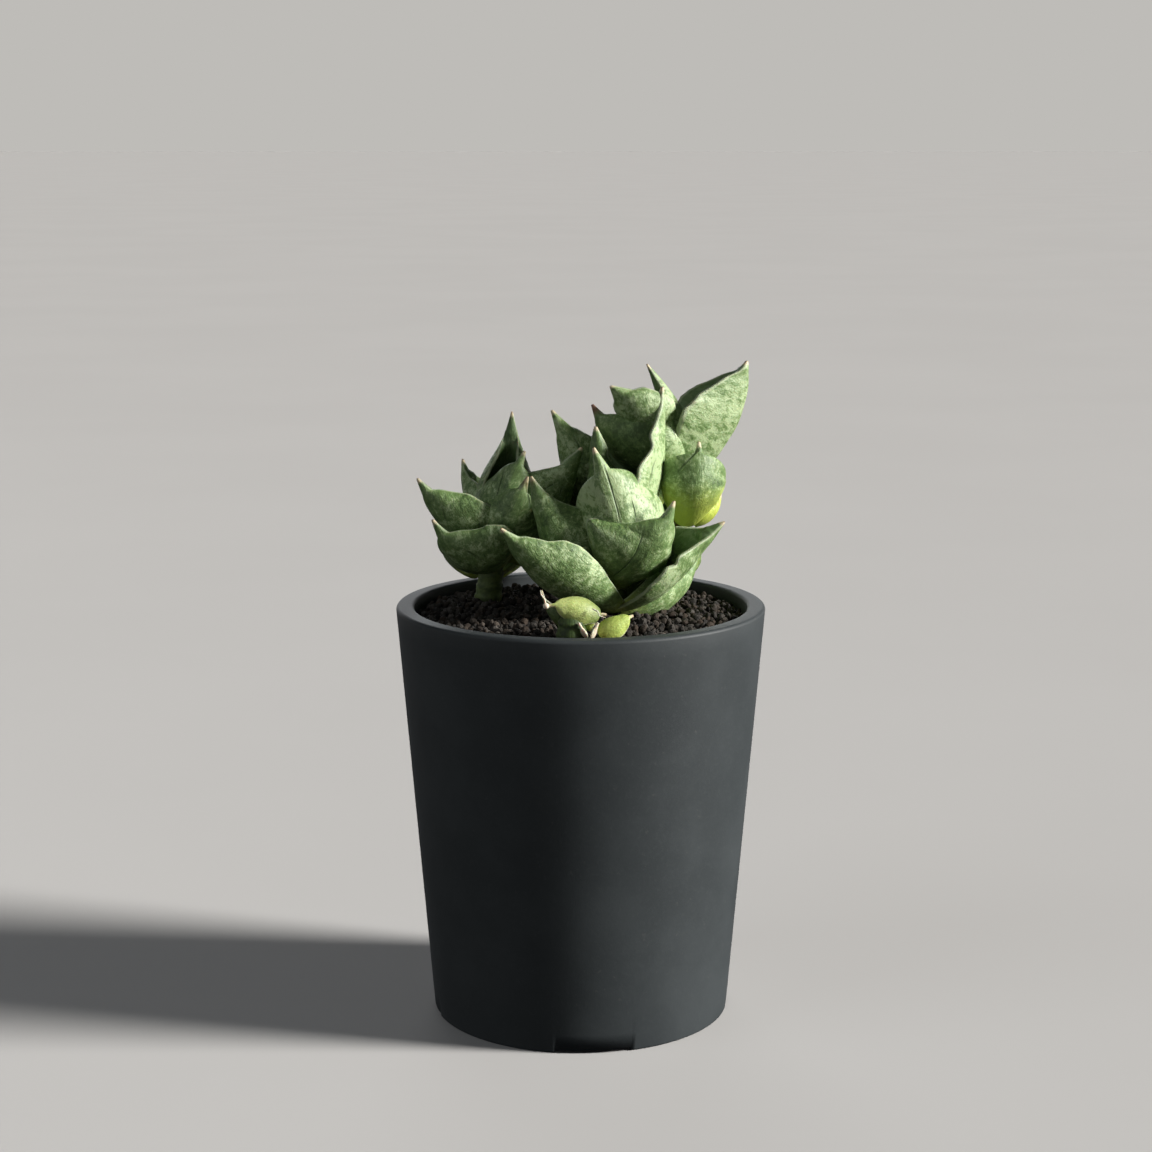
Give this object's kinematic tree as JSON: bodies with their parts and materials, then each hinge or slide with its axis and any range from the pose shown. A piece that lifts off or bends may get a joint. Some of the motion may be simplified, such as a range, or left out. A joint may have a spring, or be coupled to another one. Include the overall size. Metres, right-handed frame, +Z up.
{
  "type": "potted succulent plant",
  "caption": "Small succulent plant with rosettes of thick boat-shaped leaves, standing in soil in a tapered round pot.",
  "frame": {"origin": "on the pot's axis, at the level that the foot ring stands on", "axes": "+Z up along the pot's axis, -Y towards the side that the low front rosette and the pups grow on"},
  "size_m": [0.105, 0.105, 0.1865],
  "materials": {
    "pot": "matt charcoal plastic",
    "soil": "dry dark granules, fully rough",
    "stem": "pale green skin, satin",
    "leaf": "grey-green waxy skin with fine darker marbling",
    "young_leaf": "yellow-green waxy skin",
    "dark_leaf": "dark green waxy skin",
    "dry_sheath": "dry papery scale, cream"
  },
  "bodies": {
    "root": {"pot": "pot", "soil": "soil", "stem_front": "stem", "stem_left": "stem", "stem_right": "stem", "stem_middle": "stem", "stem_pup_left": "stem", "stem_pup_right": "stem", "leaf_front_1": "leaf", "leaf_front_2": "leaf", "leaf_front_3": "leaf", "leaf_front_4": "leaf", "leaf_front_5": "leaf", "leaf_front_6": "leaf", "leaf_front_7": "leaf", "leaf_front_8": "leaf", "leaf_front_9": "leaf", "leaf_left_1": "leaf", "leaf_left_2": "leaf", "leaf_left_3": "leaf", "leaf_left_4": "leaf", "leaf_left_5": "leaf", "leaf_left_6": "leaf", "leaf_left_7": "leaf", "leaf_left_8": "leaf", "leaf_left_9": "leaf", "leaf_middle_1": "leaf", "leaf_middle_2": "leaf", "leaf_middle_3": "leaf", "leaf_middle_4": "leaf", "leaf_middle_5": "leaf", "leaf_right_1": "leaf", "leaf_right_2": "leaf", "leaf_right_3": "leaf", "leaf_right_4": "leaf", "leaf_right_5": "leaf", "leaf_right_6": "leaf", "leaf_right_7": "leaf", "leaf_right_8": "leaf", "leaf_right_9": "leaf", "leaf_right_10": "leaf", "pup_left_1": "young_leaf", "pup_left_2": "young_leaf", "pup_right_1": "young_leaf", "pup_dark": "dark_leaf", "sheath_left": "dry_sheath", "sheath_right": "dry_sheath"}
  },
  "joints": []
}
